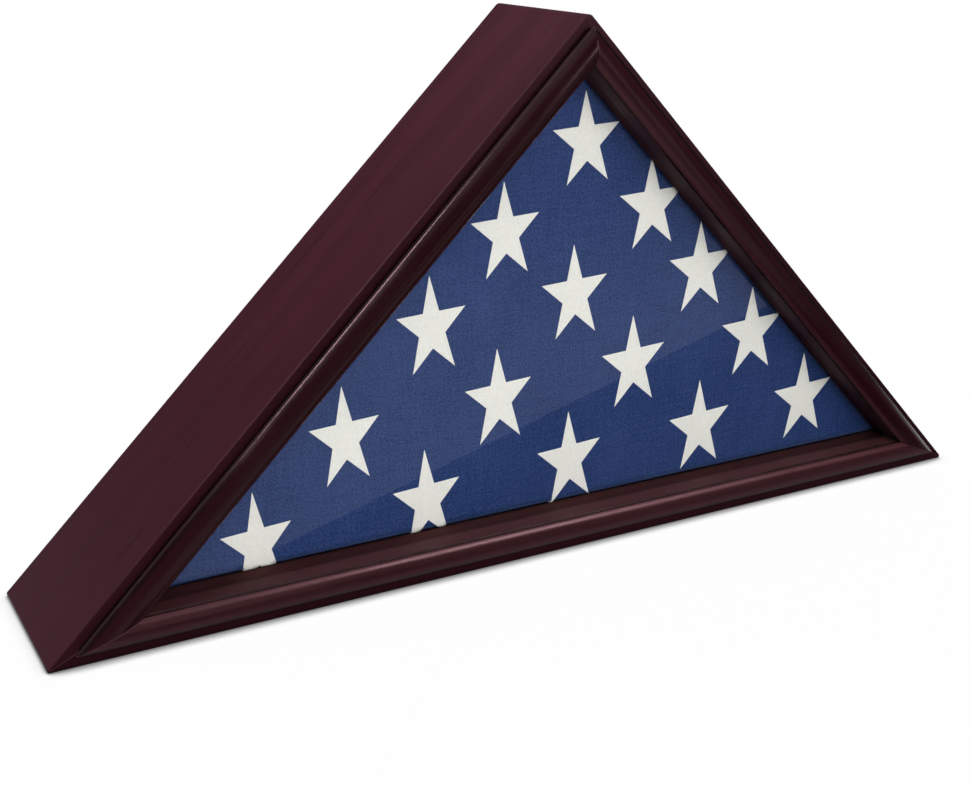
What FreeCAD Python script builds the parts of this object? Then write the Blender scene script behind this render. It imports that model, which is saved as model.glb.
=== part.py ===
import FreeCAD
import Part
import Sketcher
import math
import os

# Driving sizes, in millimetres. Insets are measured inwards from the case's outer faces.
SIZES = {
    # Carcass
    "width": 640.0,             # between the sharp corners of the two feet
    "depth": 98.5,              # of the boards, front edge to back edge
    "side_board": 12.7,         # thickness of the two slanted boards
    "base_board": 16.0,         # thickness of the base board
    "foot_radius": 1.5,         # rounding of the two acute corners
    "ridge_radius": 3.5,        # rounding of the top corner
    "arris_radius": 1.0,        # easing of the boards' outer edges
    # Front frame, let into a step in the boards' front edges
    "frame_seat": 6.7,          # width of the step
    "frame_seat_depth": 8.0,    # depth of the step
    "shadow_gap": 0.9,          # clearance around the frame
    "moulding_width": 13.1,     # outer side to sight edge
    "lip_overhang": 1.6,        # how far the front lip reaches over the boards' edges
    "lip_start": 2.5,           # how far in front of the boards the lip starts
    "lip_slope": 1.1,           # depth of the lip's sloping underside
    "moulding_rim": 5.2,        # how far the outer arris stands in front of the boards
    "moulding_crest": 9.6,      # the same for the crest
    "moulding_corner": 7.2,     # the same for the sight edge's front corner
    "sweep_width": 9.2,         # from arris to crest
    "quirk_width": 3.4,         # of the groove in the sight edge, below its corner
    "quirk_depth": 0.8,
    "quirk_slope": 0.6,         # depth of its sloping sides
    "moulding_arris": 0.7,      # easing of the outer arris
    "nail_leg": 5.5,            # V-shaped corner nails
    "nail_sheet": 0.6,
    "nail_height": 7.0,
    "nail_opening": 60.0,       # degrees between the two legs
    "nail_share": 0.45,         # how far along the mitre its bend lies, from the outer corner
    # Glazing
    "glass": 2.5,
    "glass_clearance": 0.8,     # from the pane's edge to the boards
    "stop_thickness": 4.0,
    "stop_depth": 15.0,
    "brad_radius": 0.6,
    "brad_length": 12.0,
    "brad_head_radius": 1.0,
    "brad_head": 0.5,
    "leg_brad_spacing": 120.0,
    "base_brad_spacing": 190.0,
    # Folded flag
    "flag_back_space": 8.0,     # from the flag to the back panel
    "flag_clearance": 0.8,      # from the flag to the boards and the stops
    "flag_corner": 5.0,         # rounding of its three corners
    "flag_edge": 4.0,           # rounding of its folded edges
    # Back
    "panel": 4.0,
    "panel_seat": 5.0,          # width of the step that the panel lies in
    "panel_clearance": 0.5,     # from the panel's edge to the step
    "panel_recess": 0.3,        # how far the panel lies below the boards' back edges
    "panel_corner": 3.0,
    "button_width": 5.0,
    "button_reach": 20.0,       # from the pivot to the far end's centre
    "button_sheet": 1.5,
    "button_gap": 0.2,          # from the boards to the button, and from the button to the screw's head
    "button_edge": 0.4,
    "button_bore_clearance": 0.08,
    "screw_radius": 1.2,
    "screw_length": 14.0,       # of thread in the board
    "screw_head_radius": 2.0,
    "screw_head": 1.2,
    "screw_slot": 0.7,
    "screw_slot_depth": 0.6,
    "leg_button_spacing": 220.0,
    "base_button_spacing": 360.0,
    # Splines in the carcass mitres
    "spline_sheet": 3.0,
    "spline_width": 8.0,
    "spline_setback": 14.0,     # from its ends to the boards' front and back edges
    "spline_share": 0.62,       # how far along the mitre it lies, from the outer corner
}

# Formulas that several pieces share
FRONT = "(-Sizes.depth / 2)"
BACK = "(Sizes.depth / 2)"
FRAME_SIDE = "(Sizes.side_board - Sizes.frame_seat + Sizes.shadow_gap)"
FRAME_BASE = "(Sizes.base_board - Sizes.frame_seat + Sizes.shadow_gap)"
GLASS_FRONT = f"({FRONT} + Sizes.frame_seat_depth)"
STOP_FRONT = f"({GLASS_FRONT} + Sizes.glass)"
STOP_BACK = f"({STOP_FRONT} + Sizes.stop_depth)"
PANEL_BACK = f"({BACK} - Sizes.panel_recess)"
PANEL_FRONT = f"({PANEL_BACK} - Sizes.panel)"
BUTTON_FRONT = f"({BACK} + Sizes.button_gap)"
BUTTON_BACK = f"({BUTTON_FRONT} + Sizes.button_sheet)"
PIVOT_INSET = "((Sizes.side_board - Sizes.panel_seat) / 2)"
BASE_PIVOT_INSET = f"(Sizes.base_board - Sizes.panel_seat - {PIVOT_INSET})"
WEDGE_REACH = 1.2   # how far past the outer corners a mitre wedge reaches, as a factor
HALF_ROUND = "half round"
SAME_PLACE = 0.001  # two points this near each other are one place

# The three sides of the case. Each has its own frame: x along the side, z inwards from its outer face.
# The frame is turned about Y by the angle, and its origin is the middle of the outer face.
SIDES = {
    "left": {"turn": 135.0, "x": "(-Sizes.width / 4)", "z": "(Sizes.width / 4)"},
    "right": {"turn": -135.0, "x": "(Sizes.width / 4)", "z": "(Sizes.width / 4)"},
    "bottom": {"turn": 0.0, "x": "0", "z": "0"},
}

# The turn buttons: side, spacing, pivot's inset, half of the side, and a half turn for the mirrored ones.
BUTTONS = {
    "left_upper": ("left", "leg", PIVOT_INSET, -1, 0.0),
    "left_lower": ("left", "leg", PIVOT_INSET, 1, 0.0),
    "right_upper": ("right", "leg", PIVOT_INSET, 1, 180.0),
    "right_lower": ("right", "leg", PIVOT_INSET, -1, 180.0),
    "base_left": ("bottom", "base", BASE_PIVOT_INSET, -1, 0.0),
    "base_right": ("bottom", "base", BASE_PIVOT_INSET, 1, 180.0),
}

doc = FreeCAD.newDocument("flag_case")
sheet = doc.addObject("Spreadsheet::Sheet", "Sizes")
for row, (size_name, size_value) in enumerate(SIZES.items(), start=1):
    sheet.set(f"A{row}", size_name)
    sheet.set(f"B{row}", str(size_value))
    sheet.setAlias(f"B{row}", size_name)
doc.recompute()


def value(formula):
    """The number that a formula gives with the sizes in the sheet."""
    return float(sheet.evalExpression(formula))


def bind(item, **formulas):
    """Ties an object's properties to formulas."""
    for prop, formula in formulas.items():
        item.setExpression(prop, formula)


def place(item, x="0", y="0", z="0", turn=0.0):
    """Puts an object at a point given by formulas, turned about Y by an angle in degrees."""
    item.Placement = FreeCAD.Placement(FreeCAD.Vector(), FreeCAD.Rotation(FreeCAD.Vector(0, 1, 0), turn))
    for axis, formula in zip("xyz", (x, y, z)):
        item.setExpression(f"Placement.Base.{axis}", formula)


def at_side(item, side, along="0", inset="0", depth="0", extra_turn=0.0):
    """Puts an object in a side's own frame: along the side, inset from its face and at a depth."""
    frame = SIDES[side]
    cos, sin = (f"{name}({frame['turn']} deg)" for name in ("cos", "sin"))
    x = f"{frame['x']} + ({along}) * {cos} + ({inset}) * {sin}"
    z = f"{frame['z']} - ({along}) * {sin} + ({inset}) * {cos}"
    place(item, x, depth, z, frame["turn"] + extra_turn)


def new_body(label):
    """An empty body."""
    return doc.addObject("PartDesign::Body", label)


def new_sketch(body, plane):
    """A sketch on one of a body's own origin planes."""
    sketch = body.newObject("Sketcher::SketchObject", f"{body.Name}_sketch")
    support = next(f for f in body.Origin.OriginFeatures if f.Role == plane)
    sketch.AttachmentSupport = (support, [""])
    sketch.MapMode = "FlatFace"
    return sketch


def arc_between(start, end, radius):
    """The shorter arc from start to end, bulging to the right of the way from start to end."""
    chord = end - start
    half = chord.Length / 2
    sagitta = radius - max(radius * radius - half * half, 0.0) ** 0.5
    right = FreeCAD.Vector(chord.y, -chord.x, 0).normalize()
    middle = (start + end) * 0.5 + right * sagitta
    return Part.Arc(start, middle, end)


def outline(sketch, corners, arcs=None):
    """Draws a closed outline whose corners are pairs of formulas. arcs gives the radius of each
    curved stretch, or HALF_ROUND for an upright half circle, by the number of the corner that it
    starts at. The outline runs anticlockwise, so an arc bulges outwards."""
    arcs = arcs or {}
    points = [FreeCAD.Vector(value(x), value(y), 0) for x, y in corners]
    ends = []
    for i, start in enumerate(points):
        finish = points[(i + 1) % len(points)]
        if i in arcs:
            half_round = arcs[i] == HALF_ROUND
            radius = start.distanceToPoint(finish) / 2 if half_round else value(arcs[i])
            curve = arc_between(start, finish, radius)
        else:
            curve = Part.LineSegment(start, finish)
        sketch.addGeometry(curve)
        drawn = sketch.Geometry[i]
        forward = drawn.StartPoint.distanceToPoint(start) <= drawn.EndPoint.distanceToPoint(start)
        ends.append((1, 2) if forward else (2, 1))
    for i in range(len(points)):
        after = (i + 1) % len(points)
        sketch.addConstraint(Sketcher.Constraint("Coincident", i, ends[i][1], after, ends[after][0]))
    for i, corner in enumerate(corners):
        for kind, formula in zip(("DistanceX", "DistanceY"), corner):
            held = Sketcher.Constraint(kind, -1, 1, i, ends[i][0], value(formula))
            sketch.setExpression(f"Constraints[{sketch.addConstraint(held)}]", formula)
    for i, radius in arcs.items():
        if radius == HALF_ROUND:
            sketch.addConstraint(Sketcher.Constraint("Vertical", i, 1, i, 3))
            continue
        held = Sketcher.Constraint("Radius", i, value(radius))
        sketch.setExpression(f"Constraints[{sketch.addConstraint(held)}]", radius)


def padded(body, sketch, length, kind="One side", back=True):
    """Pads a sketch. On the XZ plane a pad that runs back goes towards +Y."""
    pad = body.newObject("PartDesign::Pad", f"{body.Name}_pad")
    pad.Profile = sketch
    pad.SideType = kind
    pad.Reversed = back and kind == "One side"
    bind(pad, Length=length)
    doc.recompute()
    return pad


def rounded(body, feature, edges, radius):
    """Fillets the edges of a feature that a test picks."""
    names = [f"Edge{i}" for i, edge in enumerate(feature.Shape.Edges, start=1) if edges(edge)]
    fillet = body.newObject("PartDesign::Fillet", f"{body.Name}_fillet")
    fillet.Base = (feature, names)
    bind(fillet, Radius=radius)
    doc.recompute()
    return fillet


def along_y(edge):
    """Whether an edge runs front to back."""
    first, last = edge.Vertexes[0].Point, edge.Vertexes[-1].Point
    return abs(first.y - last.y) > edge.Length - SAME_PLACE


def across_y(edge):
    """Whether an edge lies in a plane parallel to the front."""
    return edge.BoundBox.YLength < SAME_PLACE


def triangle(side, base):
    """The case's triangle with its slanted sides and its base moved inwards."""
    apex = f"(Sizes.width / 2 - sqrt(2) * ({side}))"
    half = f"({apex} - ({base}))"
    return [(f"-{half}", base), (half, base), ("0", apex)]


def prism(label, corners, front, back):
    """An outline in the XZ plane padded from one depth to another."""
    body = new_body(label)
    sketch = new_sketch(body, "XZ_Plane")
    outline(sketch, corners)
    pad = padded(body, sketch, f"{back} - {front}")
    place(body, y=front)
    return body, pad


def boolean(kind, label, base, tool):
    """One object cut by, or kept within, another."""
    result = doc.addObject(f"Part::{kind}", label)
    result.Base = base
    result.Tool = tool
    doc.recompute()
    return result


def grouped(kind, label, property_name, pieces):
    """Several objects joined into one, as a fused tool or as a group of separate solids."""
    result = doc.addObject(f"Part::{kind}", label)
    setattr(result, property_name, pieces)
    doc.recompute()
    return result


def mitre_wedges(label, outer, inner):
    """Three prisms that meet on the mitre planes, which run from the corners of an outer triangle
    through those of an inner one. Each triangle is given by its side and base insets."""
    half = [triangle(*insets)[1][0] for insets in (outer, inner)]
    rise = f"(({inner[1]}) - ({outer[1]})) / ({half[0]} - {half[1]})"
    meeting = f"(({outer[1]}) + {half[0]} * {rise})"
    left, right, apex = (
        (f"{WEDGE_REACH} * ({x})", f"{meeting} + {WEDGE_REACH} * (({z}) - {meeting})")
        for x, z in triangle(*outer)
    )
    centre = ("0", meeting)
    shapes = {"left": [left, centre, apex], "right": [right, apex, centre], "bottom": [left, right, centre]}
    return {
        side: prism(f"{label}_{side}_wedge", corners, "(-Sizes.depth)", "Sizes.depth")[0]
        for side, corners in shapes.items()
    }


def carcass_block():
    """The boards' outer shape as one block: a triangle with rounded corners and eased edges."""
    body, pad = prism("carcass_block", triangle("0", "0"), FRONT, BACK)
    middle = value("Sizes.width / 4")
    ridge = rounded(body, pad, lambda e: along_y(e) and e.CenterOfMass.z > middle, "Sizes.ridge_radius")
    feet = rounded(body, ridge, lambda e: along_y(e) and abs(e.CenterOfMass.x) > middle,
                   "Sizes.foot_radius")
    rounded(body, feet, across_y, "Sizes.arris_radius")
    return body


def carcass_boards():
    """The hollow carcass with a step for the frame and one for the panel, split on its mitres."""
    inner = ("Sizes.side_board", "Sizes.base_board")
    hollow = prism("hollow", triangle(*inner), "(-Sizes.depth)", "Sizes.depth")[0]
    frame_insets, panel_insets = ([f"{board} - Sizes.{seat}" for board in inner]
                                  for seat in ("frame_seat", "panel_seat"))
    frame_step = prism("frame_step", triangle(*frame_insets), "(-Sizes.depth)", GLASS_FRONT)[0]
    panel_step = prism("panel_step", triangle(*panel_insets), PANEL_FRONT, "Sizes.depth")[0]
    space = grouped("MultiFuse", "carcass_space", "Shapes", [hollow, frame_step, panel_step])
    shell = boolean("Cut", "carcass_shell", carcass_block(), space)
    wedges = mitre_wedges("board", ("0", "0"), inner)
    return {side: boolean("Common", f"{side}_board_blank", shell, wedges[side]) for side in SIDES}


def strip(label, x, z, turn, across, length, front, back):
    """A flat strip between two depths, centred on a point. It is turned about Y, so that its length
    runs along the turned z axis and its thickness across it."""
    bar = doc.addObject("Part::Box", label)
    bind(bar, Length=across, Width=f"{back} - {front}", Height=length)
    tilt = FreeCAD.Rotation(FreeCAD.Vector(0, 1, 0), turn)
    side, lead = (tilt.multVec(FreeCAD.Vector(*axis)) for axis in ((1, 0, 0), (0, 0, 1)))
    start = [f"{at} - {s} * ({across}) / 2 - {t} * ({length}) / 2"
             for at, s, t in ((x, side.x, lead.x), (z, side.z, lead.z))]
    place(bar, start[0], front, start[1], turn)
    return bar


def mitres(outer, inner, share):
    """A point on each mitre, a share of the way from the outer corner to the inner one, and the turn
    about Y that brings the z axis onto the mitre."""
    points = {}
    for name, far, near in zip(("left_foot", "right_foot", "apex"), triangle(*outer), triangle(*inner)):
        x, z = (f"({a} + {share} * ({b} - {a}))" for a, b in zip(far, near))
        run_x, run_z = (value(f"{b} - {a}") for a, b in zip(far, near))
        points[name] = (x, z, math.degrees(math.atan2(run_x, run_z)))
    return points


def carcass_splines():
    """A strip across each carcass mitre, square to it and stopped short of the boards' edges."""
    corners = mitres(("0", "0"), ("Sizes.side_board", "Sizes.base_board"), "Sizes.spline_share")
    front = f"({FRONT} + Sizes.spline_setback)"
    back = f"({BACK} - Sizes.spline_setback)"
    return {
        f"{name}_spline": strip(f"{name}_spline", x, z, turn, "Sizes.spline_width", "Sizes.spline_sheet",
                                front, back)
        for name, (x, z, turn) in corners.items()
    }


def moulding_run(side):
    """A straight run of the front moulding, longer than it needs to be: an outer side under a lip, a
    face that sweeps up to a crest and rolls over, and a sight edge with a groove below its corner."""
    start = FRAME_BASE if side == "bottom" else FRAME_SIDE
    lip = f"({start} - Sizes.lip_overhang)"
    sight = f"({start} + Sizes.moulding_width)"
    rim, crest, corner, lip_back = (
        f"({FRONT} - Sizes.{size})"
        for size in ("moulding_rim", "moulding_crest", "moulding_corner", "lip_start")
    )
    quirk_floor = f"({sight} - Sizes.quirk_depth)"
    corners = [
        (GLASS_FRONT, start),
        (GLASS_FRONT, sight),
        (f"{corner} + Sizes.quirk_width", sight),
        (f"{corner} + Sizes.quirk_width - Sizes.quirk_slope", quirk_floor),
        (f"{corner} + Sizes.quirk_slope", quirk_floor),
        (corner, sight),
        (crest, f"{lip} + Sizes.sweep_width"),
        (rim, lip),
        (f"{lip_back} - Sizes.lip_slope", lip),
        (lip_back, start),
    ]
    roll_width = "(Sizes.moulding_width + Sizes.lip_overhang - Sizes.sweep_width)"
    roll_radius, sweep_radius = (
        f"({width} ^ 2 + {fall} ^ 2) / (2 * {fall})"
        for width, fall in ((roll_width, "(Sizes.moulding_crest - Sizes.moulding_corner)"),
                            ("Sizes.sweep_width", "(Sizes.moulding_crest - Sizes.moulding_rim)"))
    )
    body = new_body(f"{side}_moulding_run")
    sketch = new_sketch(body, "YZ_Plane")
    outline(sketch, corners, {5: roll_radius, 6: sweep_radius})
    pad = padded(body, sketch, "Sizes.width", "Symmetric")
    outer_arris = FreeCAD.Vector(0, value(rim), value(lip))
    rounded(body, pad, lambda e: e.CenterOfMass.distanceToPoint(outer_arris) < SAME_PLACE,
            "Sizes.moulding_arris")
    at_side(body, side)
    return body


def corner_nails(outer, inner):
    """A V-shaped nail in the back of each mitre of the front frame."""
    nails = []
    front = f"({GLASS_FRONT} - Sizes.nail_height)"
    for name, (x, z, turn) in mitres(outer, inner, "Sizes.nail_share").items():
        legs = []
        for hand in (-1, 1):
            angle = turn + hand * value("Sizes.nail_opening") / 2
            lead = FreeCAD.Rotation(FreeCAD.Vector(0, 1, 0), angle).multVec(FreeCAD.Vector(0, 0, 1))
            middle = [f"({at} + {step} * Sizes.nail_leg / 2)" for at, step in ((x, lead.x), (z, lead.z))]
            legs.append(strip(f"{name}_nail_leg", middle[0], middle[1], angle, "Sizes.nail_sheet",
                              "Sizes.nail_leg", front, GLASS_FRONT))
        nails.append(boolean("Fuse", f"{name}_nail", *legs))
    return grouped("Compound", "moulding_corner_nails", "Links", nails)


def front_frame():
    """The three mitred rails of the front frame and the nails that hold their corners."""
    outer = (FRAME_SIDE, FRAME_BASE)
    inner = tuple(f"({inset} + Sizes.moulding_width)" for inset in outer)
    wedges = mitre_wedges("frame", outer, inner)
    nails = corner_nails(outer, inner)
    pieces = {"moulding_corner_nails": nails}
    for side in SIDES:
        rail = boolean("Common", f"{side}_rail", moulding_run(side), wedges[side])
        pieces[f"{side}_front_moulding"] = boolean("Cut", f"{side}_front_moulding", rail, nails)
    return pieces


def stop_brads():
    """The small headed nails through the glass stops, flush with the stops and driven into the boards."""
    brads = []
    depth = f"({STOP_FRONT} + {STOP_BACK}) / 2"
    for side in SIDES:
        board, run = ("base_board", "base") if side == "bottom" else ("side_board", "leg")
        face = f"(Sizes.{board} + Sizes.stop_thickness)"
        for step in (-1, 0, 1):
            along = f"{step} * Sizes.{run}_brad_spacing"
            shank, head = (doc.addObject("Part::Cylinder", f"{side}_brad_{part}")
                           for part in ("shank", "head"))
            bind(shank, Radius="Sizes.brad_radius", Height="Sizes.brad_length")
            bind(head, Radius="Sizes.brad_head_radius", Height="Sizes.brad_head")
            at_side(shank, side, along, f"{face} - Sizes.brad_length", depth)
            at_side(head, side, along, f"{face} - Sizes.brad_head", depth)
            brads.append(boolean("Fuse", f"{side}_brad", shank, head))
    return grouped("Compound", "stop_brads", "Links", brads)


def glazing():
    """The glass pane, the strips that hold it against the frame's back, and their nails."""
    outer = ("Sizes.side_board", "Sizes.base_board")
    pane_insets = (f"{inset} + Sizes.glass_clearance" for inset in outer)
    pane = prism("glass_pane", triangle(*pane_insets), GLASS_FRONT, STOP_FRONT)[0]
    inner = tuple(f"({inset} + Sizes.stop_thickness)" for inset in outer)
    block = prism("stop_block", triangle(*outer), STOP_FRONT, STOP_BACK)[0]
    window = prism("stop_window", triangle(*inner), STOP_FRONT, STOP_BACK)[0]
    ring = boolean("Cut", "stop_ring", block, window)
    wedges = mitre_wedges("stop", outer, inner)
    brads = stop_brads()
    pieces = {"glass_pane": pane, "stop_brads": brads}
    for side in SIDES:
        stop = boolean("Common", f"{side}_stop_blank", ring, wedges[side])
        pieces[f"{side}_glass_stop"] = boolean("Cut", f"{side}_glass_stop", stop, brads)
    return pieces


def folded_flag():
    """The folded flag as a plain soft block that fills the case behind the glass stops."""
    insets = (f"Sizes.{board} + Sizes.flag_clearance" for board in ("side_board", "base_board"))
    front = f"({STOP_BACK} + Sizes.flag_clearance)"
    body, pad = prism("folded_flag", triangle(*insets), front, f"({PANEL_FRONT} - Sizes.flag_back_space)")
    corners = rounded(body, pad, along_y, "Sizes.flag_corner")
    rounded(body, corners, across_y, "Sizes.flag_edge")
    return body


def back_panel():
    """The thin board that closes the back, lying in the boards' step."""
    insets = (f"Sizes.{board} - Sizes.panel_seat + Sizes.panel_clearance"
              for board in ("side_board", "base_board"))
    body, pad = prism("back_panel", triangle(*insets), PANEL_FRONT, PANEL_BACK)
    rounded(body, pad, along_y, "Sizes.panel_corner")
    return body


def turn_button(label, side, along, inset, turn):
    """A round-ended clip lying along a board's back edge, bored at one end for its screw."""
    half = "(Sizes.button_width / 2)"
    reach = "Sizes.button_reach"
    body = new_body(label)
    sketch = new_sketch(body, "XZ_Plane")
    corners = [("0", f"-{half}"), (reach, f"-{half}"), (reach, half), ("0", half)]
    outline(sketch, corners, {1: HALF_ROUND, 3: HALF_ROUND})
    bore_radius = "Sizes.screw_radius + Sizes.button_bore_clearance"
    bore = sketch.addGeometry(Part.Circle(FreeCAD.Vector(), FreeCAD.Vector(0, 0, 1), value(bore_radius)))
    sketch.addConstraint(Sketcher.Constraint("Coincident", bore, 3, -1, 1))
    held = sketch.addConstraint(Sketcher.Constraint("Radius", bore, value(bore_radius)))
    sketch.setExpression(f"Constraints[{held}]", bore_radius)
    pad = padded(body, sketch, "Sizes.button_sheet")
    top = value("Sizes.button_sheet")
    bore_length = 2 * math.pi * value(bore_radius)
    rounded(body, pad, lambda e: across_y(e) and e.CenterOfMass.y > top - SAME_PLACE
            and abs(e.Length - bore_length) > SAME_PLACE, "Sizes.button_edge")
    at_side(body, side, along, inset, BUTTON_FRONT, turn)
    return body


def button_screw(label, side, along, inset):
    """A pointed screw with a slotted domed head just clear of its turn button."""
    length = "(Sizes.screw_length + 2 * Sizes.button_gap + Sizes.button_sheet)"
    dome = "(Sizes.screw_head_radius ^ 2 + Sizes.screw_head ^ 2) / (2 * Sizes.screw_head)"
    depth = f"{BUTTON_BACK} + Sizes.button_gap"
    corners = [
        ("0", f"-{length}"),
        ("Sizes.screw_radius", f"2 * Sizes.screw_radius - {length}"),
        ("Sizes.screw_radius", "0"),
        ("Sizes.screw_head_radius", "0"),
        ("0", "Sizes.screw_head"),
    ]
    body = new_body(f"{label}_turned")
    sketch = new_sketch(body, "XY_Plane")
    outline(sketch, corners, {3: dome})
    turned = body.newObject("PartDesign::Revolution", f"{label}_revolution")
    turned.Profile = sketch
    turned.ReferenceAxis = (sketch, ["V_Axis"])
    at_side(body, side, along, inset, depth)
    slot = doc.addObject("Part::Box", f"{label}_slot")
    bind(slot, Length="2 * Sizes.screw_head_radius", Width="Sizes.screw_head", Height="Sizes.screw_slot")
    at_side(slot, side, f"({along}) - Sizes.screw_head_radius", f"{inset} - Sizes.screw_slot / 2",
            f"{depth} + Sizes.screw_head - Sizes.screw_slot_depth")
    return boolean("Cut", label, body, slot)


def panel_fastenings():
    """Two turn buttons on each board's back edge, mirrored left to right, and their screws."""
    pieces = {}
    screws = []
    for name, (side, run, inset, hand, turn) in BUTTONS.items():
        along = f"{hand} * Sizes.{run}_button_spacing / 2"
        label = f"{name}_turn_button"
        pieces[label] = turn_button(label, side, along, inset, turn)
        screws.append(button_screw(f"{name}_screw", side, along, inset))
    pieces["turn_button_screws"] = grouped("Compound", "turn_button_screws", "Links", screws)
    return pieces


def whole_case():
    """Every piece of the case by its name."""
    blanks = carcass_boards()
    splines = carcass_splines()
    glazed = glazing()
    fastened = panel_fastenings()
    let_in = [*splines.values(), glazed["stop_brads"], fastened["turn_button_screws"]]
    drilled = grouped("Compound", "board_fasteners", "Links", let_in)
    names = {"left": "left_side_board", "right": "right_side_board", "bottom": "base_board"}
    boards = {name: boolean("Cut", name, blanks[side], drilled) for side, name in names.items()}
    filling = {"folded_flag": folded_flag(), "back_panel": back_panel()}
    return {**boards, **splines, **front_frame(), **glazed, **filling, **fastened}


def write(pieces):
    """Checks the whole document and writes each piece to its own file."""
    doc.recompute()
    for item in doc.Objects:
        if "Invalid" in item.State or "Error" in item.State:
            raise RuntimeError(f"{item.Label} failed: {item.State}")
    for label, piece in pieces.items():
        piece.Label = label
        if piece.Shape.isNull() or not piece.Shape.isValid() or not piece.Shape.Solids:
            raise RuntimeError(f"{label} has no valid solid")
    os.makedirs("parts", exist_ok=True)
    for label, piece in pieces.items():
        piece.Shape.exportStep(f"parts/{label}.step")


write(whole_case())
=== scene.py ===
"""Looks of a folded flag display case: lacquered mahogany, glass, a folded cotton flag and plated clips."""

import math

import bpy
import numpy as np
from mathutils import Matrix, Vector


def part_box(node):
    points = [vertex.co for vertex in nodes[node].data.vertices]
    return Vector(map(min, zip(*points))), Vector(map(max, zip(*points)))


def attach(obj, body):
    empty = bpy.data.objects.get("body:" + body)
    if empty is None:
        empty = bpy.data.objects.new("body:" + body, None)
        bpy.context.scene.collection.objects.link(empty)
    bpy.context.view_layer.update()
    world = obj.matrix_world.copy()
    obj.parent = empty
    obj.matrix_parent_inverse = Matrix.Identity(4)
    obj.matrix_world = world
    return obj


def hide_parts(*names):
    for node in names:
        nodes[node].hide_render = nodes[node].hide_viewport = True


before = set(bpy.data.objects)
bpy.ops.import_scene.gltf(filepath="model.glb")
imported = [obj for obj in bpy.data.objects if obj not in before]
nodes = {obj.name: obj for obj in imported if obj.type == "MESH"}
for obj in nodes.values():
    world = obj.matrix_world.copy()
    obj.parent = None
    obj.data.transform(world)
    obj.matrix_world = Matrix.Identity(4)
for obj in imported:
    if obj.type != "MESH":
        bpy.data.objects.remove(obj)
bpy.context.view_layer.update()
scene = bpy.context.scene

# Sizes in metres, repeated from the part's source
CASE_HEIGHT = 0.32       # of the sharp triangle that the boards are cut from
SIDE_INSET = 0.0135      # from the case's outer faces to the flag's slanted edges
LEG = math.sqrt(0.5)     # across, and up, for each metre along a slanted side

# The flag: a sheet of cotton, folded lengthwise to a strip of four plies, then rolled into a triangle
PLIES = 4
TURNS = 15
PLY_STACK = (3, 0, 1, 2)     # where each ply lies in the strip, counted from the strip's inner side
LEFT_MATES = [1, 0, 3, 2]    # the ply that each is joined to on the left side, where the strip isn't rolled
RIGHT_MATES = [0, 2, 1, 3]   # the same on the right side
EDGE_ROUND = 0.003           # how far in from an edge a fold starts to turn
SHARPEST_FOLD = 0.0004       # the least that this may be
EDGE_NEST = 0.003            # how much shorter the innermost folds are than the outermost
NEST_REACH = 0.05            # how far in from an edge a ply is drawn in
EDGE_STEPS = np.array([0.0, 0.0015, 0.005, 0.013, 0.028])   # points close to an edge, as shares of the side
PLY_ROWS, FIRST_ROW = 16, 0.06
PLY_COLUMNS, FIRST_COLUMN = 22, 0.05
INWARD = np.array([(0.0, 1.0), (LEG, -LEG), (-LEG, -LEG)])   # from the base, the left and the right side

# The stars on the flag's front: middles across and up, in millimetres
STAR_MIDDLES = (
    (18.9, 244.8), (68.3, 202.4), (108.8, 158.1), (154.8, 109.6), (204.8, 56.2),
    (-34.9, 195.4), (14.2, 152.8), (60.0, 102.4), (116.0, 50.2),
    (-82.8, 145.1), (-37.7, 94.6), (14.2, 45.6),
    (-138.1, 87.2), (-86.0, 38.6),
    (-193.0, 33.0),
)
STAR_WIDE, STAR_TALL = 0.0242, 0.0337
STAR_WIDER = 0.011           # growth of the width per metre across
STAR_SHORTER = 0.0163        # loss of height per metre up
STAR_TURN = math.radians(3.2)
STAR_WAIST = 0.382           # inner corners as a share of the points' reach
STAR_CLOTH = 0.00035         # thickness of the sewn-on cloth
STAR_STEPS = 8               # points along each of a star's ten edges
STAR_ROWS, STAR_FLAT = 31, 0.96                                # rows of points out to where the rim starts
RIM_OUT, RIM_LIFT = [0.99, 1.0, 1.0], [0.85, 0.5, -0.6]        # the rim's rows, rounded down into the ply

# Stains, dyes and lacquers, and colours of painted light and shade
GRAIN = {"left": (0, math.radians(45), 0), "right": (0, math.radians(-45), 0), "base": (0, 0, 0)}
FIGURE_STRETCH = (1.4, 26.0, 26.0)
CLOUD_STRETCH = (3.0, 8.0, 8.0)
PORE_STRETCH = (16.0, 620.0, 620.0)
BOARD_DEEP, BOARD_WARM = (0.019, 0.0032, 0.0062), (0.031, 0.0056, 0.0108)
RAIL_GLOSS = {"left": 0.16, "right": 0.23, "base": 0.3}
# The three rails are one moulding; their stains differ by side only as painted light and shade: the base
# rail lighter, the left rail darkest
RAIL_DEEP_SHADED_BY_SIDE = {
    "left": (0.009, 0.0013, 0.0022), "right": (0.015, 0.0028, 0.0042), "base": (0.034, 0.0083, 0.011),
}
RAIL_WARM_SHADED_BY_SIDE = {
    "left": (0.0148, 0.0023, 0.0037), "right": (0.025, 0.005, 0.0074), "base": (0.056, 0.0146, 0.0188),
}
STOP_DEEP, STOP_WARM = (0.036, 0.009, 0.009), (0.05, 0.013, 0.013)
# Painted light: faces that look up are lighter as if lit from above, faces that look down as if lit from
# the floor
PAINTED_TOP_LIGHT, PAINTED_FLOOR_LIGHT = (0.057, 0.014, 0.0132), (0.045, 0.0135, 0.0175)
FLOOR_LIGHT_SHARE = 0.7            # painted floor light on faces that look down, as a share of the painted light on faces that look up
PORE_STAIN, PORE_SHARE = (0.006, 0.0014, 0.002), 0.4
# Painted shade: faces that look to the front or back are darker
FRONT_BACK_SHADE, FRONT_BACK_SHADE_SHARE = (0.006, 0.0008, 0.0014), 0.45
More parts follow.
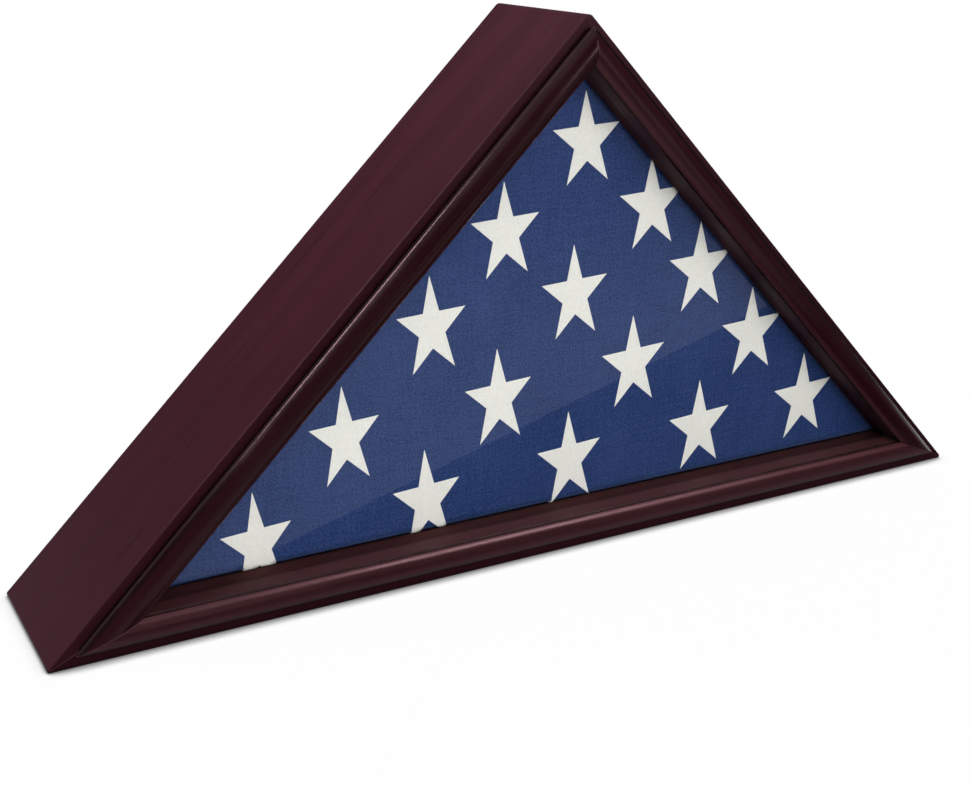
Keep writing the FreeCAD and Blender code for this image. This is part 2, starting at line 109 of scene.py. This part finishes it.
# Painted shade in hollows, found by ambient occlusion
PAINTED_HOLLOW_SHADE, HOLLOW_SHADE_SHARE, HOLLOW_REACH = (0.004, 0.0006, 0.001), 0.85, 0.003
# Painted shade in the groove of the sight edge
GROOVE_SHADE_SHARE = 0.9
# Lighter edges: partly rubbed wear, partly a painted highlight along the arrises
WORN_AND_HIGHLIT_WOOD, WEAR_AND_HIGHLIGHT_SHARE, WORN_REACH = (0.12, 0.055, 0.062), 0.55, 0.0009
LACQUER_TINT = (1.0, 0.62, 0.67)
INSIDE = (-0.0562, -0.0548)          # depths between which the frame's inside starts
GROOVE_FRONT = (-0.0566, -0.056)     # and those of the two sides of the groove in its sight edge
GROOVE_BACK = (-0.0531, -0.0526)
FLAG_BLUE, BLUE_UNEVEN = (0.0205, 0.0435, 0.149), 0.36
STAR_WHITE, WHITE_UNEVEN = (0.87, 0.85, 0.805), 0.05
THREADS = (1500.0, 1500.0, 1500.0)   # to the metre
GLASS_TINT = (0.98, 0.985, 0.98)

# Stage, camera and light
FLOOR_HALF = 30.0
FLOOR_GLOW = 0.985
FLOOR_PAINT = (0.32, 0.32, 0.32)
CONTACT_REACH = 0.009
WHITE = (1.0, 1.0, 1.0)
CARD_NEAR, CARD_FAR = -0.1, -4.0
CARD_LOW, CARD_HIGH = 0.0006, 0.001  # heights of the cards that lie on the floor, some over others
CARD_FADE = (-0.95, -0.35)           # depths between which a card changes its grey
CAMERA_SENSOR, CAMERA_LENS = 36.0, 51.64
CAMERA_PLACE = (-0.43535, -0.69922, 0.37276)
CAMERA_TURN = (70.7498, -0.6956, -29.5905)
LAMP_AIM = Vector((0.0, 0.0, 0.14))


def mesh_piece(name, points, faces, material, smooth=True):
    """A mesh object at the origin from an array of points and an array of faces."""
    mesh = bpy.data.meshes.new(name)
    mesh.from_pydata(points.reshape(-1, 3), [], faces.tolist())
    mesh.polygons.foreach_set("use_smooth", np.full(len(mesh.polygons), smooth))
    mesh.materials.append(material)
    mesh.update()
    piece = bpy.data.objects.new(name, mesh)
    scene.collection.objects.link(piece)
    return piece


def grid_faces(patches, rows, columns, wrap=False):
    """Quads of several grids of points that are stored one after another, row by row."""
    index = np.arange(patches * rows * columns).reshape(patches, rows, columns)
    if wrap:
        index = np.concatenate([index, index[:, :, :1]], axis=2)
    a, b, c, d = index[:, :-1, :-1], index[:, :-1, 1:], index[:, 1:, 1:], index[:, 1:, :-1]
    return np.stack([a, b, c, d], axis=-1).reshape(-1, 4)


# Materials


class Finish:
    """A material, or the world, whose nodes are added one by one."""

    def __init__(self, name, kind="materials", output="ShaderNodeOutputMaterial"):
        self.owner = getattr(bpy.data, kind).new(name)
        self.owner.use_nodes = True
        self.output = output
        self.tree = self.owner.node_tree
        self.tree.nodes.clear()

    def add(self, kind, settings=None, **inputs):
        """A node; an input is a value, or a socket of another node. _ stands for a space in its name, and
        i with a number for the input of that number."""
        node = self.tree.nodes.new(kind)
        for key, setting in (settings or {}).items():
            setattr(node, key, setting)
        for key, value in inputs.items():
            numbered = key[0] == "i" and key[1:].isdigit()
            self.feed(node.inputs[int(key[1:]) if numbered else key.replace("_", " ")], value)
        return node

    def feed(self, socket, value):
        """Sets an input, or links it to a socket of another node."""
        if isinstance(value, bpy.types.NodeSocket):
            self.tree.links.new(value, socket)
        else:
            socket.default_value = value

    def math(self, operation, *values, clamp=False):
        """The result of a math node."""
        inputs = {f"i{i}": value for i, value in enumerate(values)}
        return self.add("ShaderNodeMath", {"operation": operation, "use_clamp": clamp}, **inputs).outputs[0]

    def blend(self, share, first, second):
        """Two colours mixed by a share."""
        node = self.add("ShaderNodeMix", {"data_type": "RGBA"})
        for number, value in ((0, share), (6, first), (7, second)):
            self.feed(node.inputs[number], value)
        return node.outputs[2]

    def ramp(self, value, low, high, to_low=0.0, to_high=1.0):
        """A value carried smoothly from one range to another."""
        smooth = {"interpolation_type": "SMOOTHSTEP"}
        node = self.add("ShaderNodeMapRange", smooth, i0=value, i1=low, i2=high, i3=to_low, i4=to_high)
        return node.outputs[0]

    def place(self, turn=(0, 0, 0), scale=(1, 1, 1)):
        """Object coordinates, turned and stretched."""
        coordinates = self.add("ShaderNodeTexCoord").outputs["Object"]
        turned = self.add("ShaderNodeMapping", Vector=coordinates, Rotation=turn).outputs[0]
        return self.add("ShaderNodeMapping", Vector=turned, Scale=scale).outputs[0]

    def noise(self, place, scale=1.0, detail=2.0, roughness=0.5):
        """Cloudy noise between 0 and 1."""
        node = self.add("ShaderNodeTexNoise", Vector=place, Scale=scale, Detail=detail, Roughness=roughness)
        return node.outputs[0]

    def sum(self, first, first_share, second, second_share):
        """Two values added, each by its share."""
        parts = ((first, first_share), (second, second_share))
        return self.math("ADD", *(self.math("MULTIPLY", value, share) for value, share in parts))

    def bump(self, height, strength, distance, **over):
        """A normal raised by a height, over another normal where one is given."""
        node = self.add("ShaderNodeBump", Strength=strength, Distance=distance, Height=height, **over)
        return node.outputs[0]

    def show(self, shader):
        """Makes a shader the surface, and gives the finished material or world."""
        self.add(self.output, Surface=shader)
        return self.owner


def colour(red, green, blue):
    """A colour with full alpha."""
    return (red, green, blue, 1.0)


def lacquered_mahogany(name, turn, deep, warm, gloss, shine, dull=0.0, painted_light=0.0):
    """Dark stained mahogany under satin lacquer. Grain streaks run along the piece; turn brings the
    piece's length onto X. Faces that look to the front or back are darkened by a painted shade, and the
    lacquer inside the frame wasn't rubbed down, so it is dull. Faces that look up or down are lightened
    by painted light, a painted shade darkens hollows and the groove of the sight edge, and edges are
    lighter, partly from rubbed wear and partly as a painted highlight."""
    f = Finish(name)
    figure = f.noise(f.place(turn, FIGURE_STRETCH), detail=5.0, roughness=0.6)
    cloud = f.noise(f.place(turn, CLOUD_STRETCH))
    pores = f.ramp(f.noise(f.place(turn, PORE_STRETCH)), 0.56, 0.72)
    stain = f.blend(f.ramp(f.sum(figure, 0.6, cloud, 0.4), 0.3, 0.7), colour(*deep), colour(*warm))
    stain = f.blend(f.math("MULTIPLY", pores, PORE_SHARE), stain, colour(*PORE_STAIN))
    flat = f.add("ShaderNodeNewGeometry").outputs["Normal"]
    looks = f.add("ShaderNodeSeparateXYZ", Vector=flat)
    facing = f.math("ABSOLUTE", looks.outputs["Y"])
    # painted light from above: faces that look up are lighter
    stain = f.blend(f.ramp(looks.outputs["Z"], 0.7, 0.95, 0.0, painted_light), stain, colour(*PAINTED_TOP_LIGHT))
    depth = f.add("ShaderNodeSeparateXYZ", Vector=f.place()).outputs["Y"]
    inside = f.math("MULTIPLY", f.ramp(depth, *INSIDE), f.ramp(facing, 0.5, 0.3))
    # painted light from the floor: faces that look down are lighter, except inside the frame
    under = f.math("SUBTRACT", f.ramp(looks.outputs["Z"], -0.5, -0.12, FLOOR_LIGHT_SHARE * painted_light, 0.0),
                   f.math("MULTIPLY", inside, dull), clamp=True)
    stain = f.blend(under, stain, colour(*PAINTED_FLOOR_LIGHT))
    # painted shade: faces that look to the front or back are darker
    stain = f.blend(f.ramp(facing, 0.9, 0.99, 0.0, FRONT_BACK_SHADE_SHARE), stain, colour(*FRONT_BACK_SHADE))
    # painted shade where ambient occlusion finds a hollow
    hollow = f.add("ShaderNodeAmbientOcclusion", {"samples": 4}, Distance=HOLLOW_REACH).outputs["AO"]
    stain = f.blend(f.ramp(hollow, 0.5, 0.95, HOLLOW_SHADE_SHARE, 0.0), stain, colour(*PAINTED_HOLLOW_SHADE))
    # painted shade in the groove of the sight edge, on the rails only
    groove = f.math("MULTIPLY", f.ramp(depth, *GROOVE_FRONT), f.ramp(depth, *GROOVE_BACK, 1.0, 0.0))
    groove_shade = f.math("MULTIPLY", groove, f.ramp(facing, 0.85, 0.95, GROOVE_SHADE_SHARE if dull else 0.0, 0.0))
    stain = f.blend(groove_shade, stain, colour(*PAINTED_HOLLOW_SHADE))
    # lighter edges: partly rubbed wear, partly a painted highlight along the arrises
    bevel_normal = f.add("ShaderNodeBevel", {"samples": 4}, Radius=WORN_REACH).outputs[0]
    edge = f.add("ShaderNodeVectorMath", {"operation": "DOT_PRODUCT"}, i0=bevel_normal, i1=flat).outputs["Value"]
    rubbed = f.ramp(f.noise(f.place(), 45.0, detail=3.0), 0.3, 0.65)
    wear_and_highlight = f.math("MULTIPLY", f.ramp(edge, 0.985, 0.86), rubbed)
    stain = f.blend(f.math("MULTIPLY", wear_and_highlight, WEAR_AND_HIGHLIGHT_SHARE), stain, colour(*WORN_AND_HIGHLIT_WOOD))
    peel = f.noise(f.place(), 260.0, detail=1.0)
    height = f.math("SUBTRACT", f.math("MULTIPLY", peel, 0.35), f.math("MULTIPLY", pores, 0.5))
    bump = f.bump(height, strength=0.05, distance=0.0006, Normal=bevel_normal)
    rubbed_down = f.ramp(f.noise(f.place(), 22.0, detail=3.0), 0.3, 0.7, gloss - 0.03, gloss + 0.05)
    rough = f.math("MAXIMUM", rubbed_down, f.math("MULTIPLY", inside, dull))
    shader = f.add("ShaderNodeBsdfPrincipled", Base_Color=stain, Roughness=rough, Normal=bump)
    shader.inputs["Specular IOR Level"].default_value = shine
    shader.inputs["Specular Tint"].default_value = colour(*LACQUER_TINT)
    return f.show(shader.outputs[0])


def flag_cotton(name, dye, uneven):
    """Plain-weave cotton: two sets of threads crossing, a slightly uneven dye and a soft sheen."""
    f = Finish(name)
    parts = f.add("ShaderNodeSeparateXYZ", Vector=f.place(scale=THREADS))
    weft = f.math("SINE", f.math("MULTIPLY", parts.outputs["X"], math.pi))
    warp = f.math("SINE", f.math("MULTIPLY", parts.outputs["Z"], math.pi))
    weave = f.math("MULTIPLY", f.math("ADD", f.math("MULTIPLY", weft, warp), 1.0), 0.5)
    slub_across = f.noise(f.place(scale=(60.0, 60.0, 900.0)), detail=3.0)
    slub_up = f.noise(f.place(scale=(900.0, 60.0, 60.0)), detail=3.0)
    slubs = f.math("MULTIPLY", f.math("ADD", slub_across, slub_up), 0.16)
    thread = f.math("ADD", slubs, f.math("MULTIPLY", f.noise(f.place(), 800.0, roughness=0.6), 0.68))
    cloud = f.noise(f.place(), 18.0, detail=3.0)
    tone = f.sum(thread, 0.86, cloud, 0.14)
    grey = sum(dye) / 3
    spread = [uneven * (0.6 * part + 0.4 * grey) for part in dye]
    dark = [part - step for part, step in zip(dye, spread)]
    light = [part + step for part, step in zip(dye, spread)]
    dyed = f.blend(f.ramp(tone, 0.34, 0.66), colour(*dark), colour(*light))
    fine = f.bump(f.sum(weave, 0.12, thread, 0.5), strength=0.5 * uneven + 0.1, distance=0.0005)
    bump = f.bump(f.noise(f.place(), 14.0), strength=0.2, distance=0.003, Normal=fine)
    shader = f.add("ShaderNodeBsdfPrincipled", Base_Color=dyed, Roughness=0.9, Normal=bump)
    shader.inputs["Specular IOR Level"].default_value = 0.15
    shader.inputs["Sheen Weight"].default_value = 0.05
    return f.show(shader.outputs[0])


def clear_glass(name):
    """A clear pane: it lets light through, and mirrors more at a slant."""
    f = Finish(name)
    outside = f.math("SUBTRACT", 1.0, f.add("ShaderNodeNewGeometry").outputs["Backfacing"])
    mirrored = f.math("MULTIPLY", f.add("ShaderNodeFresnel", IOR=1.5).outputs[0], outside)
    clear = f.add("ShaderNodeBsdfTransparent", Color=colour(*GLASS_TINT)).outputs[0]
    mirror = f.add("ShaderNodeBsdfGlossy", Roughness=0.015).outputs[0]
    return f.show(f.add("ShaderNodeMixShader", i0=mirrored, i1=clear, i2=mirror).outputs[0])


def dark_hardboard(name):
    """Pressed fibre board with a dark stain: short fibres and a faint mottle."""
    f = Finish(name)
    fibres = f.noise(f.place((0, 0.6, 0), (180.0, 180.0, 900.0)), detail=4.0, roughness=0.65)
    mottle = f.noise(f.place(), 24.0, detail=3.0)
    tone = f.sum(fibres, 0.65, mottle, 0.35)
    stain = f.blend(f.ramp(tone, 0.35, 0.65), colour(0.018, 0.009, 0.008), colour(0.05, 0.026, 0.022))
    bump = f.bump(fibres, strength=0.3, distance=0.0005)
    rough = f.ramp(mottle, 0.3, 0.7, 0.5, 0.68)
    shader = f.add("ShaderNodeBsdfPrincipled", Base_Color=stain, Roughness=rough, Normal=bump)
    return f.show(shader.outputs[0])


def metal(name, bright, dull, smoothest=0.3):
    """Plated metal with faint rolling marks and small tarnish clouds, which are rougher."""
    f = Finish(name)
    rolled = f.noise(f.place(scale=(260.0, 1400.0, 1400.0)), detail=3.0)
    tarnish = f.ramp(f.noise(f.place(), 120.0, detail=4.0), 0.42, 0.68)
    tone = f.blend(tarnish, colour(*bright), colour(*dull))
    bump = f.bump(rolled, strength=0.12, distance=0.0003)
    rough = f.ramp(tarnish, 0.0, 1.0, smoothest, smoothest + 0.18)
    shader = f.add("ShaderNodeBsdfPrincipled", Base_Color=tone, Roughness=rough, Normal=bump, Metallic=1.0)
    return f.show(shader.outputs[0])


def bare_plywood(name):
    """Pale birch plywood: glued layers as darker lines and a fine grain."""
    f = Finish(name)
    grain = f.noise(f.place(scale=(120.0, 8.0, 120.0)), detail=4.0)
    layers = f.noise(f.place(scale=(900.0, 2.0, 900.0)), detail=1.0)
    tone = f.sum(grain, 0.6, layers, 0.4)
    wood = f.blend(f.ramp(tone, 0.35, 0.65), colour(0.36, 0.23, 0.12), colour(0.56, 0.4, 0.24))
    bump = f.bump(grain, strength=0.2, distance=0.0004)
    return f.show(f.add("ShaderNodeBsdfPrincipled", Base_Color=wood, Roughness=0.7, Normal=bump).outputs[0])


# The folded flag


def flag_triangle():
    """The flag's corners: left foot, right foot and top, as (across, up)."""
    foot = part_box("folded_flag")[0][2]
    top = CASE_HEIGHT - math.sqrt(2) * SIDE_INSET
    half = top - foot
    return np.array([(-half, foot), (half, foot), (0.0, top)])


def fold_depths():
    """The depth of each ply of each turn, and the depth at which each of its three edges meets the ply
    that it is folded into: along the base, the left side and the right side. The strip is rolled, so
    turns lie in front of and behind the first by turns, and the same ply always faces outwards."""
    low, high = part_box("folded_flag")
    turn = np.arange(TURNS)
    layer = TURNS // 2 + np.where(turn % 2, -1, 1) * ((turn + 1) // 2)
    stack = np.array(PLY_STACK)
    place = np.where(turn[:, None] % 2, PLIES - 1 - stack, stack)
    pitch = (high[1] - low[1]) / (TURNS * PLIES)
    depth = low[1] + (layer[:, None] * PLIES + place + 0.5) * pitch
    partner = np.repeat(depth[None], 3, axis=0)
    base_mate = np.where(turn % 2, turn - 1, turn + 1)
    side_mate = np.where(turn % 2, turn + 1, turn - 1)
    held = base_mate < TURNS
    partner[0, held] = depth[base_mate[held]]
    right_fold = (turn + 1) // 2 % 2 == 1
    for side, folded, joined in ((1, ~right_fold, LEFT_MATES), (2, right_fold, RIGHT_MATES)):
        crossing = folded & (side_mate >= 0) & (side_mate < TURNS)
        partner[side, crossing] = depth[side_mate[crossing]]
        partner[side, ~folded] = depth[~folded][:, joined]
    return depth, (partner + depth) / 2


def edge_distances(points):
    """How far points are from the flag's base, left side and right side."""
    left, right = flag_triangle()[:2]
    across, up = points[..., 0], points[..., 1]
    base = up - left[1]
    return np.stack([base, (across - left[0] - base) * LEG, (right[0] - across - base) * LEG])


def on_plies(flat, depth, reach, deepest):
    """Points (across, up) of the flat triangle, laid on plies. The folds nest, so a ply is drawn in at
    each edge, the more the closer its partner lies. Near an edge its depth leaves the ply's own along a
    quarter ellipse, and ends half way to the ply that it is folded into. Also gives how far each point
    has turned over each edge, from 0 to 1."""
    away = np.maximum(edge_distances(flat), 0)
    away = away.reshape(3, *(1,) * (reach.ndim - 3), *away.shape[1:])
    short = EDGE_NEST * (1 - np.abs(reach) / deepest)
    drawn = np.einsum("e...,ed->...d", short * np.clip(1 - away / NEST_REACH, 0, 1) ** 2, INWARD)
    turned = np.clip(1 - away / np.clip(np.abs(reach), SHARPEST_FOLD, EDGE_ROUND), 0, 1)
    bend = 1 - np.sqrt(1 - turned ** 2)
    mixed = (bend * reach).sum(axis=0) / np.maximum(bend.sum(axis=0), 1e-9)
    depths = depth + mixed * bend.max(axis=0)
    placed = flat + drawn
    return np.stack([placed[..., 0], depths, placed[..., 1]], axis=-1), bend


def folded_flag():
    """The flag as one folded sheet. Each ply of each turn is a triangle (a, b) -> (1 - a) * base(b) +
    a * top, laid on its ply."""
    depth, meet = fold_depths()
    rise = np.concatenate([EDGE_STEPS, np.linspace(FIRST_ROW, 1.0, PLY_ROWS)])
    middle = np.linspace(FIRST_COLUMN, 1 - FIRST_COLUMN, PLY_COLUMNS)
    run = np.concatenate([EDGE_STEPS, middle, 1 - EDGE_STEPS[::-1]])
    a, b = (part[..., None] for part in np.meshgrid(rise, run, indexing="ij"))
    left, right, top = flag_triangle()
    flat = (1 - a) * ((1 - b) * left + b * right) + a * top
    reach = meet - depth
    points = on_plies(flat, depth[..., None, None], reach[..., None, None], np.abs(reach).max())[0]
    faces = grid_faces(TURNS * PLIES, len(rise), len(run))
    return mesh_piece("flag_cloth", points, faces, COTTON_BLUE)


def star_field(name, middles, side):
    """Five-pointed stars sewn on the outermost ply, in front where side is -1 and behind where it is 1.
    A star is a fan of ten straight edges: (edge, along, out) -> middle + out * (a point on the edge),
    laid on the ply, raised by the star's cloth and rounded down at its rim."""
    corner = np.arange(11)
    angle = math.pi / 2 + corner * math.pi / 5
    far_out = np.where(corner % 2, STAR_WAIST, 1.0)[:, None]
    tips = np.stack([np.cos(angle), np.sin(angle)], axis=-1) * far_out
    along = np.linspace(0, 1, STAR_STEPS, endpoint=False)[:, None]
    edge = tips[:-1, None] * (1 - along) + tips[1:, None] * along
    middle = np.array(middles)[:, None, None] / 1000
    wide = STAR_WIDE - side * STAR_WIDER * middle[..., :1]
    tall = STAR_TALL - STAR_SHORTER * middle[..., 1:]
    cosine, sine = math.cos(STAR_TURN), math.sin(STAR_TURN)
    turn = np.array([[cosine, sine], [-sine, cosine]])
    edge = edge.reshape(1, 1, -1, 2) * np.concatenate([wide, tall], axis=-1) @ turn
    out = np.concatenate([np.linspace(0.0, STAR_FLAT, STAR_ROWS), RIM_OUT])
    lift = np.concatenate([np.ones(STAR_ROWS), RIM_LIFT]) * STAR_CLOTH
    flat = middle + out[:, None, None] * edge
    flat[..., 1] = np.maximum(flat[..., 1], flag_triangle()[0, 1])
    depth, meet = fold_depths()
    reach = meet - depth
    outermost = np.unravel_index((side * depth).argmax(), depth.shape)
    own = reach[(slice(None), *outermost)][:, None, None, None]
    points, bend = on_plies(flat, depth[outermost], own, np.abs(reach).max())
    turned = bend.max(axis=0)
    outwards = -np.einsum("e...,ed->...d", bend, INWARD) / np.maximum(bend.sum(axis=0), 1e-9)[..., None]
    raised = np.stack([outwards[..., 0] * turned, side * (1 - turned), outwards[..., 1] * turned], axis=-1)
    points = points + raised * lift[:, None, None]
    faces = grid_faces(len(middles), len(out), edge.shape[2], wrap=True)
    return mesh_piece(name, points, faces if side > 0 else faces[:, ::-1], COTTON_WHITE)


# Stage


def level(half, front, back, height):
    """The corners of a level rectangle about the middle plane."""
    return [(-half, front, height), (half, front, height), (half, back, height), (-half, back, height)]


def sheet_on_stage(name, corners, material):
    """A flat sheet that isn't part of the object."""
    faces = np.arange(len(corners))[None]
    piece = mesh_piece(name, np.array(corners, float), faces, material, smooth=False)
    return piece


def pale_floor():
    """A white floor that keeps the case's shadow; its glow is darkened by a painted contact shadow right
    where the case meets it.
    """
    f = Finish("floor_white")
    light = f.add("ShaderNodeLightPath")
    seen = f.math("MAXIMUM", light.outputs["Is Camera Ray"], light.outputs["Is Glossy Ray"])
    seen = f.math("MAXIMUM", seen, light.outputs["Is Transmission Ray"])
    away = f.add("ShaderNodeVectorMath", {"operation": "LENGTH"}, i0=f.place()).outputs["Value"]
    share = f.math("MULTIPLY", seen, f.ramp(away, 0.4, 0.8, FLOOR_GLOW, 1.0))
    paint = f.add("ShaderNodeBsdfDiffuse", Color=colour(*FLOOR_PAINT)).outputs[0]
    # painted contact shadow: the glow is darkened where ambient occlusion finds the case close by
    open_sky = f.add("ShaderNodeAmbientOcclusion", {"samples": 8}, Distance=CONTACT_REACH).outputs["AO"]
    painted_contact_shadow = f.ramp(open_sky, 0.45, 0.97, 0.2, 1.0)
    glow = f.add("ShaderNodeEmission", Color=colour(*WHITE), Strength=painted_contact_shadow).outputs[0]
    white = f.show(f.add("ShaderNodeMixShader", i0=share, i1=paint, i2=glow).outputs[0])
    sheet_on_stage("floor", level(FLOOR_HALF, -FLOOR_HALF, FLOOR_HALF, 0), white)


def studio_card(name, corners, grey, far_grey=None):
    """A glowing grey card that only the glossy surfaces mirror: a painted reflection. It may change to
    another grey further in front.
    """
    f = Finish(name)
    depth = f.add("ShaderNodeSeparateXYZ", Vector=f.place()).outputs["Y"]
    bright = f.ramp(depth, *CARD_FADE, grey if far_grey is None else far_grey, grey)
    reflected_glow = f.show(f.add("ShaderNodeEmission", Color=colour(*WHITE), Strength=bright).outputs[0])
    card = sheet_on_stage(name, corners, reflected_glow)
    card.visible_camera = card.visible_diffuse = card.visible_shadow = card.visible_transmission = False


def dim_room():
    """A dim room under a wide bright ceiling, on a white background."""
    f = Finish("studio", "worlds", "ShaderNodeOutputWorld")
    way = f.add("ShaderNodeTexCoord").outputs["Generated"]
    ceiling = f.ramp(f.add("ShaderNodeSeparateXYZ", Vector=way).outputs["Z"], 0.5, 0.85, 0.1, 0.9)
    bright = f.math("MAXIMUM", ceiling, f.add("ShaderNodeLightPath").outputs["Is Camera Ray"])
    return f.show(f.add("ShaderNodeBackground", Color=colour(*WHITE), Strength=bright).outputs[0])


def lamp(name, place, wide, tall, watts, soft=True, gloss=True):
    """A soft rectangular lamp that faces the case. A lamp may light only dull or only glossy surfaces."""
    data = bpy.data.lights.new(name, "AREA")
    data.shape = "RECTANGLE"
    data.size, data.size_y = wide, tall
    data.energy = watts
    lit = bpy.data.objects.new(name, data)
    lit.location = place
    lit.rotation_euler = (LAMP_AIM - Vector(place)).to_track_quat("-Z", "Y").to_euler()
    lit.visible_camera = False
    lit.visible_diffuse = soft
    lit.visible_glossy = gloss
    scene.collection.objects.link(lit)


# Finishes of the case's own pieces
COTTON_BLUE = flag_cotton("flag_blue_cotton", FLAG_BLUE, BLUE_UNEVEN)
COTTON_WHITE = flag_cotton("flag_star_cotton", STAR_WHITE, WHITE_UNEVEN)
GLASS = clear_glass("pane_glass")
HARDBOARD = dark_hardboard("back_hardboard")
BRASS = metal("clip_brass_plate", (0.62, 0.46, 0.2), (0.36, 0.24, 0.1))
STEEL = metal("nail_bright_steel", (0.55, 0.55, 0.56), (0.3, 0.29, 0.28))
STAINED_STEEL = metal("brad_stained_steel", (0.03, 0.014, 0.013), (0.018, 0.008, 0.008), smoothest=0.6)
PLYWOOD = bare_plywood("spline_plywood")
BOARD_WOOD = {
    side: lacquered_mahogany(f"board_mahogany_{side}", turn, BOARD_DEEP, BOARD_WARM, gloss=0.46, shine=0.12)
    for side, turn in GRAIN.items()
}
# The rails' stains per side are painted light and shade
RAIL_WOOD = {
    side: lacquered_mahogany(f"rail_mahogany_shaded_by_side_{side}", turn, RAIL_DEEP_SHADED_BY_SIDE[side], RAIL_WARM_SHADED_BY_SIDE[side],
                             gloss=RAIL_GLOSS[side], shine=0.34, dull=0.7, painted_light=0.72)
    for side, turn in GRAIN.items()
}
# The stops get the full painted light on faces that look up or down
STOP_WOOD = {
    side: lacquered_mahogany(f"stop_mahogany_{side}", turn, STOP_DEEP, STOP_WARM,
                             gloss=0.7, shine=0.1, painted_light=1.0)
    for side, turn in GRAIN.items()
}

DRESS = {
    "left_side_board": BOARD_WOOD["left"], "right_side_board": BOARD_WOOD["right"],
    "base_board": BOARD_WOOD["base"],
    "left_front_moulding": RAIL_WOOD["left"], "right_front_moulding": RAIL_WOOD["right"],
    "bottom_front_moulding": RAIL_WOOD["base"], "left_glass_stop": STOP_WOOD["left"],
    "right_glass_stop": STOP_WOOD["right"], "bottom_glass_stop": STOP_WOOD["base"],
    "glass_pane": GLASS, "back_panel": HARDBOARD, "turn_button_screws": BRASS,
    "moulding_corner_nails": STEEL, "stop_brads": STAINED_STEEL, "folded_flag": COTTON_BLUE,
}
for node_name, node in nodes.items():
    if node_name.endswith("_spline"):
        finish = PLYWOOD
    elif node_name.endswith("_turn_button"):
        finish = BRASS
    else:
        finish = DRESS[node_name]
    node.data.materials.clear()
    node.data.materials.append(finish)

cloth = folded_flag()
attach(cloth, "case")
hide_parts("folded_flag")
front_stars = star_field("flag_stars_front", STAR_MIDDLES, -1)
back_stars = star_field("flag_stars_back", [(-x, z) for x, z in STAR_MIDDLES], 1)
for stars in (front_stars, back_stars):
    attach(stars, "case")

# Camera and light
camera_data = bpy.data.cameras.new("photo_camera")
camera_data.sensor_width = CAMERA_SENSOR
camera_data.lens = CAMERA_LENS
camera = bpy.data.objects.new("photo_camera", camera_data)
camera.location = CAMERA_PLACE
camera.rotation_euler = [math.radians(angle) for angle in CAMERA_TURN]
scene.collection.objects.link(camera)
scene.camera = camera

pale_floor()
# Cards that only glossy surfaces mirror: painted reflections of a grey and dark surrounding over the white
# floor
studio_card("card_grey", level(4.0, CARD_FAR, CARD_NEAR, CARD_LOW), 0.48, far_grey=0.2)
studio_card("card_dark", [(-0.194, CARD_NEAR, CARD_HIGH), (1.5, -0.876, CARD_HIGH),
                          (1.5, CARD_NEAR, CARD_HIGH)], 0.0)
studio_card("card_foot", level(1.0, CARD_NEAR, -0.04, CARD_LOW), 0.12)
studio_card("card_right", [(1.0, -0.7, CARD_HIGH), (1.0, 2.0, CARD_HIGH),
                           (1.0, 2.0, 1.0), (1.0, -0.7, 1.0)], 0.02)
lamp("lamp_left_top", (-0.22, 0.35, 0.85), wide=0.7, tall=0.7, watts=11.5, gloss=False)
lamp("lamp_front", (-0.55, -2.2, 0.75), wide=1.8, tall=1.8, watts=55.0, gloss=False)
lamp("lamp_arris", (-1.25, -0.48, 1.5), wide=0.5, tall=0.5, watts=40.0, soft=False)
lamp("lamp_roll", (0.76, -1.42, 0.74), wide=0.5, tall=0.5, watts=15.0, soft=False)
lamp("lamp_right_back", (1.2, 0.9, 0.25), wide=1.0, tall=0.6, watts=4.0, soft=False)

scene.world = dim_room()
scene.view_settings.view_transform = "Standard"
